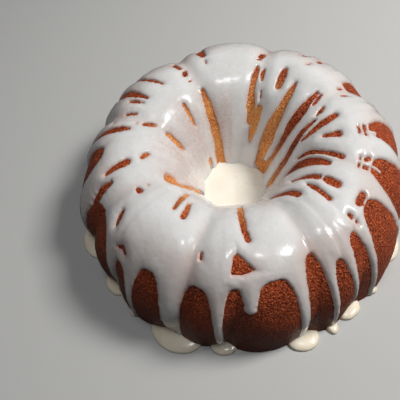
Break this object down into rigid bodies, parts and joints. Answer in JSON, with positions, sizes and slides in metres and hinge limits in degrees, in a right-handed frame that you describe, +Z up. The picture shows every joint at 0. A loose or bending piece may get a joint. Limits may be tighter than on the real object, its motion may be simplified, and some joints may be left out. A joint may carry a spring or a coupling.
{
  "type": "glazed fluted ring cake",
  "caption": "Whole fluted ring cake with pale glaze poured over the crown, drips down the flutes, small puddles round the foot and a pool of glaze in the middle hole.",
  "frame": {"origin": "on the axis of the ring, at the flat underside that the cake stands on", "axes": "+Z up along the axis of the ring; -Y is the front of the cake and +X its right side seen from the front"},
  "size_m": [0.2582, 0.2587, 0.0815],
  "materials": {
    "crust": "browned cake crust with fine open crumb, matt",
    "glaze": "set sugar glaze, off-white, glossy",
    "pooled_glaze": "thick pooled sugar glaze, warm cream, glossy"
  },
  "bodies": {
    "root": {"cake": "crust", "glaze_coat": "glaze", "glaze_pool": "pooled_glaze", "glaze_puddle_01": "glaze", "glaze_puddle_02": "glaze", "glaze_puddle_03": "glaze", "glaze_puddle_04": "glaze", "glaze_puddle_05": "glaze", "glaze_puddle_06": "glaze", "glaze_puddle_07": "glaze", "glaze_puddle_08": "glaze", "glaze_puddle_09": "glaze", "glaze_puddle_10": "glaze", "glaze_puddle_11": "glaze", "glaze_puddle_12": "glaze", "glaze_puddle_13": "glaze", "glaze_puddle_14": "glaze", "glaze_puddle_15": "glaze", "glaze_puddle_16": "glaze", "glaze_puddle_17": "glaze", "glaze_puddle_18": "glaze"}
  },
  "joints": []
}
